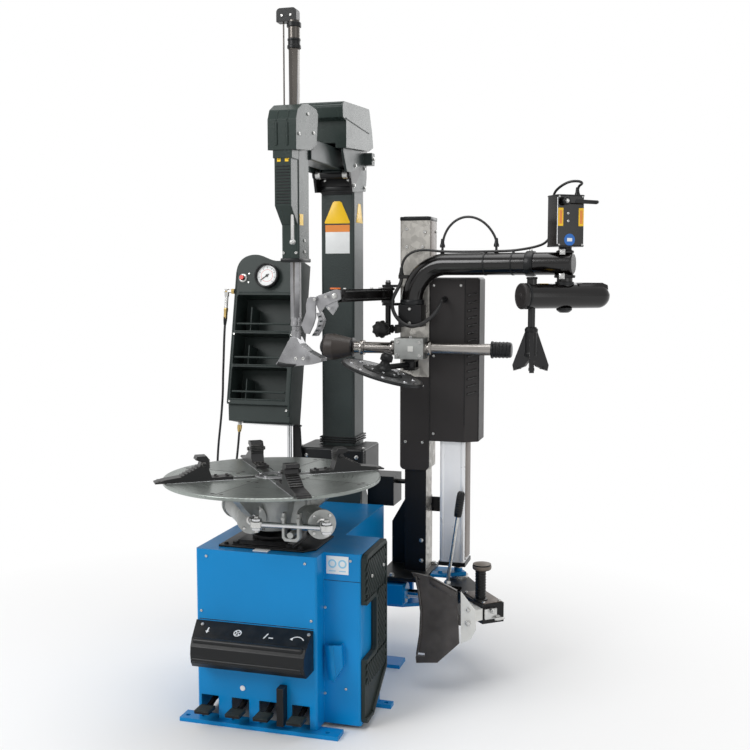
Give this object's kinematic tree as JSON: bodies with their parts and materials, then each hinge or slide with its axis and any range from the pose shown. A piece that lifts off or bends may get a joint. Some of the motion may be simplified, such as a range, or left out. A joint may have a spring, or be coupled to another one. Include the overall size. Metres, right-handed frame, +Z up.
{
  "type": "tire changer",
  "caption": "Floor-standing tire changer with a round clamping table, a tilting column with a mount head, a bead breaker and a wheel-fitting assist arm.",
  "frame": {"origin": "on the floor, at the centre of the rectangle of anchor holes in the foot plates", "axes": "+X to the right as the operator faces the machine, +Y to the rear, +Z up"},
  "size_m": [1.3518, 1.1405, 2.096],
  "materials": {
    "blue_paint": "gloss powder coat",
    "black_paint": "satin black paint",
    "hammer_paint": "dark green-grey hammer-finish paint",
    "gloss_black": "gloss black powder coat",
    "grey_paint": "dark grey enamel",
    "dark_plastic": "grained dark green-grey moulding",
    "black_plastic": "satin black moulding",
    "button_plastic": "gloss black push button",
    "rubber_pad": "moulded black rubber",
    "roller_rubber": "dark moulded roller",
    "hose_rubber": "smooth black air hose",
    "brushed_steel": "brushed turntable steel",
    "polished_steel": "ground and polished rod",
    "dark_steel": "blackened forged steel",
    "tool_steel": "bare forged tool steel",
    "galvanised": "zinc-plated sheet",
    "cast_aluminium": "sand-cast aluminium",
    "drawn_aluminium": "drawn cylinder profile",
    "brass": "plated brass fitting",
    "white_dial": "white dial in a black case"
  },
  "bodies": {
    "base": {"cabinet_shell": "blue_paint", "rear_panel": "blue_paint", "foot_plates": "blue_paint", "pedal_cover": "black_plastic", "pedal_frame": "black_paint", "breaker_pad": "rubber_pad", "gearbox_housing": "black_paint", "drive_motor": "grey_paint", "column_bracket": "hammer_paint", "base_cover": "black_plastic", "tower_shell": "dark_plastic", "gauge_body": "white_dial", "air_fittings": "brass", "inflator_hose": "hose_rubber", "supply_hose": "hose_rubber", "breaker_beam": "blue_paint", "assist_post": "black_paint", "lift_cylinder": "drawn_aluminium"},
    "pedal_body_1": {"pedal_1": "black_paint"},
    "pedal_body_2": {"pedal_2": "black_paint"},
    "pedal_body_3": {"pedal_3": "black_paint"},
    "pedal_body_4": {"pedal_4": "black_paint"},
    "turntable": {"turntable_disc": "brushed_steel", "table_hub": "cast_aluminium"},
    "clamp_rod_body": {"clamp_rods": "polished_steel"},
    "jaw_body_1": {"jaw_1": "dark_steel"},
    "jaw_body_2": {"jaw_2": "dark_steel"},
    "jaw_body_3": {"jaw_3": "dark_steel"},
    "jaw_body_4": {"jaw_4": "dark_steel"},
    "column_body": {"column": "hammer_paint", "head_cover": "dark_plastic"},
    "tilt_barrel": {"tilt_cylinder": "drawn_aluminium"},
    "tilt_piston": {"tilt_rod": "polished_steel"},
    "slide_unit": {"slide_arm": "hammer_paint", "unit_housing": "hammer_paint", "unit_cap": "dark_plastic"},
    "lock_body": {"lock_button": "tool_steel"},
    "tool_bar": {"slide_bar": "tool_steel", "mount_head": "tool_steel"},
    "needle_body": {"gauge_needle": "black_plastic"},
    "inflate_body": {"inflate_button": "button_plastic"},
    "breaker_swing_body": {"breaker_arm": "black_paint", "breaker_blade": "dark_steel"},
    "breaker_piston": {"breaker_rod": "polished_steel"},
    "mast_body": {"lift_mast": "galvanised", "mast_covers": "black_plastic", "loop_hose": "hose_rubber"},
    "upper_arm_body": {"upper_arm": "gloss_black", "control_box": "gloss_black", "arm_hose": "hose_rubber", "strap_hose": "hose_rubber"},
    "second_arm_body": {"second_arm": "gloss_black"},
    "presser_body": {"presser_rod": "gloss_black"},
    "toggle_body": {"toggle_lever": "button_plastic"},
    "holder_arm_body": {"holder_arm": "black_paint"},
    "holder_tool_body": {"holder_tool": "tool_steel"},
    "roller_bar_body": {"roller_bar": "polished_steel"},
    "roller_body": {"assist_roller": "roller_rubber"},
    "disc_arm_body": {"disc_arm": "black_paint"},
    "disc_body": {"lifting_disc": "dark_steel"}
  },
  "joints": [
    {"name": "pedal_1_press", "type": "hinge", "parent": "base", "child": "pedal_body_1", "pos_m": [-0.145, -0.11, 0.092], "axis": [1, 0, 0], "range_deg": [0, 7], "stiffness_Nm_per_rad": 10, "springref_deg": -17.19},
    {"name": "pedal_2_press", "type": "hinge", "parent": "base", "child": "pedal_body_2", "pos_m": [-0.05, -0.11, 0.092], "axis": [1, 0, 0], "range_deg": [0, 7], "stiffness_Nm_per_rad": 10, "springref_deg": -17.19},
    {"name": "pedal_3_press", "type": "hinge", "parent": "base", "child": "pedal_body_3", "pos_m": [0.035, -0.11, 0.092], "axis": [1, 0, 0], "range_deg": [0, 7], "stiffness_Nm_per_rad": 10, "springref_deg": -17.19},
    {"name": "pedal_4_press", "type": "hinge", "parent": "base", "child": "pedal_body_4", "pos_m": [0.135, -0.11, 0.092], "axis": [1, 0, 0], "range_deg": [0, 7], "stiffness_Nm_per_rad": 10, "springref_deg": -17.19},
    {"name": "turntable_spin", "type": "hinge", "parent": "base", "child": "turntable", "pos_m": [0, -0.152, 0.6], "axis": [0, 0, 1], "continuous": true},
    {"name": "jaw_1_slide", "type": "slide", "parent": "turntable", "child": "jaw_body_1", "axis": [0.809, 0.5878, 0], "range_m": [-0.05, 0.03]},
    {"name": "jaw_2_slide", "type": "slide", "parent": "turntable", "child": "jaw_body_2", "axis": [-0.5878, 0.809, 0], "range_m": [-0.05, 0.03]},
    {"name": "jaw_3_slide", "type": "slide", "parent": "turntable", "child": "jaw_body_3", "axis": [-0.809, -0.5878, 0], "range_m": [-0.05, 0.03]},
    {"name": "jaw_4_slide", "type": "slide", "parent": "turntable", "child": "jaw_body_4", "axis": [0.5878, -0.809, 0], "range_m": [-0.05, 0.03]},
    {"name": "clamp_cylinder_slide", "type": "slide", "parent": "turntable", "child": "clamp_rod_body", "axis": [0.5878, -0.809, 0], "range_m": [-0.00727, 0.00436]},
    {"name": "column_tilt", "type": "hinge", "parent": "base", "child": "column_body", "pos_m": [-0.005, 0.54, 0.56], "axis": [-1, 0, 0], "range_deg": [0, 25]},
    {"name": "tilt_cylinder_pivot", "type": "hinge", "parent": "base", "child": "tilt_barrel", "pos_m": [-0.005, 0.64, 0.372], "axis": [-1, 0, 0], "range_deg": [0, 10.62]},
    {"name": "tilt_rod_slide", "type": "slide", "parent": "tilt_barrel", "child": "tilt_piston", "axis": [0, 0.0305, 0.9995], "range_m": [-0.05341, 0]},
    {"name": "arm_slide", "type": "slide", "parent": "column_body", "child": "slide_unit", "axis": [0, 1, 0], "range_m": [-0.1, 0.05]},
    {"name": "bar_slide", "type": "slide", "parent": "slide_unit", "child": "tool_bar", "axis": [0, 0, 1], "range_m": [-0.16, 0.06]},
    {"name": "lock_button_press", "type": "slide", "parent": "slide_unit", "child": "lock_body", "axis": [0, 0, 1], "range_m": [0, 0.006], "stiffness_N_per_m": 500, "springref_m": -0.004},
    {"name": "gauge_needle_turn", "type": "hinge", "parent": "base", "child": "needle_body", "pos_m": [-0.2295, 0.38389, 1.29492], "axis": [0, -0.9781, 0.2079], "range_deg": [-200, 0], "stiffness_Nm_per_rad": 0.002, "springref_deg": 11.46},
    {"name": "inflate_button_press", "type": "slide", "parent": "base", "child": "inflate_body", "axis": [0, 0.9781, -0.2079], "range_m": [0, 0.006], "stiffness_N_per_m": 500, "springref_m": -0.004},
    {"name": "breaker_swing", "type": "hinge", "parent": "base", "child": "breaker_swing_body", "pos_m": [0.43, 0.48, 0.235], "axis": [0, 0, 1], "range_deg": [-15, 15]},
    {"name": "breaker_rod_slide", "type": "slide", "parent": "base", "child": "breaker_piston", "axis": [1, 0, 0], "range_m": [-0.03875, 0.03875]},
    {"name": "assist_lift", "type": "slide", "parent": "base", "child": "mast_body", "axis": [0, 0, 1], "range_m": [-0.21, 0.05]},
    {"name": "upper_arm_swing", "type": "hinge", "parent": "mast_body", "child": "upper_arm_body", "pos_m": [0.297, 0.345, 1.2], "axis": [0, 0, -1], "range_deg": [-8, 55]},
    {"name": "second_arm_swing", "type": "hinge", "parent": "upper_arm_body", "child": "second_arm_body", "pos_m": [0.797, 0.2665, 1.27], "axis": [0, 0, 1], "range_deg": [-40, 40]},
    {"name": "presser_slide", "type": "slide", "parent": "second_arm_body", "child": "presser_body", "axis": [0, 0, 1], "range_m": [-0.08, 0.03]},
    {"name": "toggle_turn", "type": "hinge", "parent": "upper_arm_body", "child": "toggle_body", "pos_m": [0.7788, 0.2537, 1.516], "axis": [0.5592, -0.829, 0], "range_deg": [-25, 25], "stiffness_Nm_per_rad": 2},
    {"name": "holder_swing", "type": "hinge", "parent": "mast_body", "child": "holder_arm_body", "pos_m": [0.215, 0.345, 1.233], "axis": [0, 0, 1], "range_deg": [-20, 0]},
    {"name": "holder_tool_turn", "type": "hinge", "parent": "holder_arm_body", "child": "holder_tool_body", "pos_m": [0.154, -0.032, 1.233], "axis": [0, 1, 0], "range_deg": [0, 30]},
    {"name": "roller_bar_slide", "type": "slide", "parent": "mast_body", "child": "roller_bar_body", "axis": [1, 0, 0], "range_m": [-0.05, 0.04]},
    {"name": "roller_spin", "type": "hinge", "parent": "roller_bar_body", "child": "roller_body", "pos_m": [0.05, 0.345, 1.056], "axis": [1, 0, 0], "continuous": true},
    {"name": "disc_arm_swing", "type": "hinge", "parent": "mast_body", "child": "disc_arm_body", "pos_m": [0.29, 0.35, 1.002], "axis": [0, 0, 1], "range_deg": [0, 50]},
    {"name": "disc_spin", "type": "hinge", "parent": "disc_arm_body", "child": "disc_body", "pos_m": [0.232, 0.215, 0.985], "axis": [0.2924, 0, 0.9563], "continuous": true}
  ],
  "couplings": [
    {"joint": "jaw_2_slide", "follows": "jaw_1_slide", "ratio": 1},
    {"joint": "jaw_3_slide", "follows": "jaw_1_slide", "ratio": 1},
    {"joint": "jaw_4_slide", "follows": "jaw_1_slide", "ratio": 1},
    {"joint": "clamp_cylinder_slide", "follows": "jaw_1_slide", "ratio": 0.14546},
    {"joint": "tilt_cylinder_pivot", "follows": "column_tilt", "ratio": 0.425},
    {"joint": "tilt_rod_slide", "follows": "column_tilt", "m_per_rad": -0.1224},
    {"joint": "breaker_rod_slide", "follows": "breaker_swing", "m_per_rad": 0.148}
  ]
}
